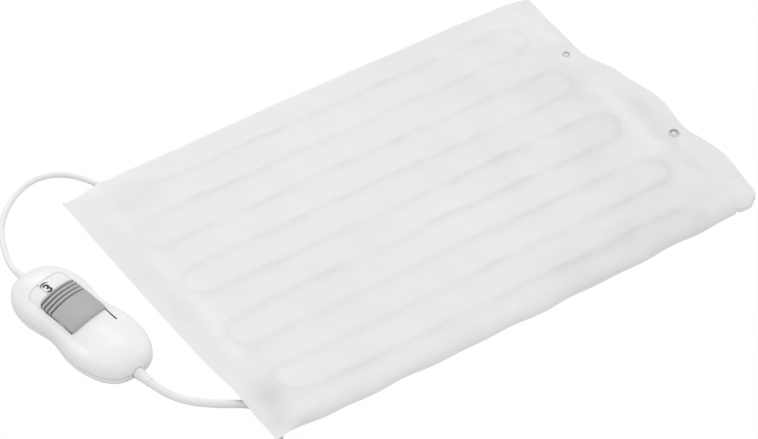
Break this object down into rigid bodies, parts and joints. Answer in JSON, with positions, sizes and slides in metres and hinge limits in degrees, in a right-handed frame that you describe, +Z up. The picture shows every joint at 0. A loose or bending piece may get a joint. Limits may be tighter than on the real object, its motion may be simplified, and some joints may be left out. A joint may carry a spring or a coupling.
{
  "type": "heating pad with controller",
  "caption": "Flat electric heating pad in a studded cloth cover, wired to a two-lobed controller with a sliding setting knob, with a coiled mains lead and a flat plug.",
  "frame": {"origin": "centre of the pad's underside, on the surface that the pad lies on", "axes": "+X along the pad's length towards the studded open end, +Y away from the side where the mains lead passes under the cover, +Z up"},
  "size_m": [0.4916, 0.4514, 0.0261],
  "materials": {
    "cover_cloth": "fine woven cotton, matt",
    "felt": "needled felt",
    "shell_plastic": "smooth moulded, soft gloss",
    "soft_white_plastic": "moulded, satin",
    "stud_plastic": "moulded, glossy",
    "cord_jacket": "soft vinyl, satin",
    "knob_plastic": "moulded, satin",
    "scale_plastic": "smooth",
    "dark_plastic": "satin",
    "yellow_plastic": "satin",
    "wire_jacket": "soft silicone",
    "board": "laminate",
    "brass_metal": "bright",
    "steel": "plated"
  },
  "bodies": {
    "pad": {"cover_top_cloth": "cover_cloth", "cover_bottom_cloth": "cover_cloth", "press_stud_far_cap": "stud_plastic", "press_stud_far_socket": "stud_plastic", "press_stud_far_stud": "stud_plastic", "press_stud_far_back": "stud_plastic", "press_stud_near_cap": "stud_plastic", "press_stud_near_socket": "stud_plastic", "press_stud_near_stud": "stud_plastic", "press_stud_near_back": "stud_plastic", "inner_pad_top_felt": "felt", "inner_pad_bottom_felt": "felt", "heating_wire": "wire_jacket", "wire_end_sleeve": "dark_plastic", "terminal_block_base": "soft_white_plastic", "terminal_block_lid": "soft_white_plastic", "thermal_cutout": "steel", "pad_cord": "cord_jacket", "mains_cord": "cord_jacket", "mains_cord_coil": "cord_jacket", "coil_tie": "dark_plastic", "mains_cord_tail": "cord_jacket", "plug_strain_relief": "cord_jacket", "plug_body": "cord_jacket", "plug_pin_left": "brass_metal", "plug_pin_right": "brass_metal", "controller_upper_shell": "shell_plastic", "controller_lower_shell": "shell_plastic", "shell_screw_far_left": "steel", "shell_screw_far_right": "steel", "shell_screw_near_left": "steel", "shell_screw_near_right": "steel", "pad_cord_strain_relief": "cord_jacket", "mains_cord_strain_relief": "cord_jacket", "pad_cord_clamp": "soft_white_plastic", "mains_cord_clamp": "soft_white_plastic", "circuit_board": "board", "switch_base": "dark_plastic", "contact_strip_left": "brass_metal", "contact_strip_right": "brass_metal", "mains_terminal_block": "soft_white_plastic", "pad_terminal_block": "soft_white_plastic", "suppression_capacitor": "yellow_plastic", "fuse": "scale_plastic", "power_control_part": "dark_plastic", "scale_plate": "scale_plastic", "detent_spring": "steel"},
    "slider": {"slider_knob": "knob_plastic", "slider_carrier": "dark_plastic", "contact_bridge": "brass_metal"}
  },
  "joints": [
    {"name": "slider", "type": "slide", "parent": "pad", "child": "slider", "axis": [-0.1392, 0.9903, 0], "range_m": [-0.0059, 0.0118]}
  ]
}
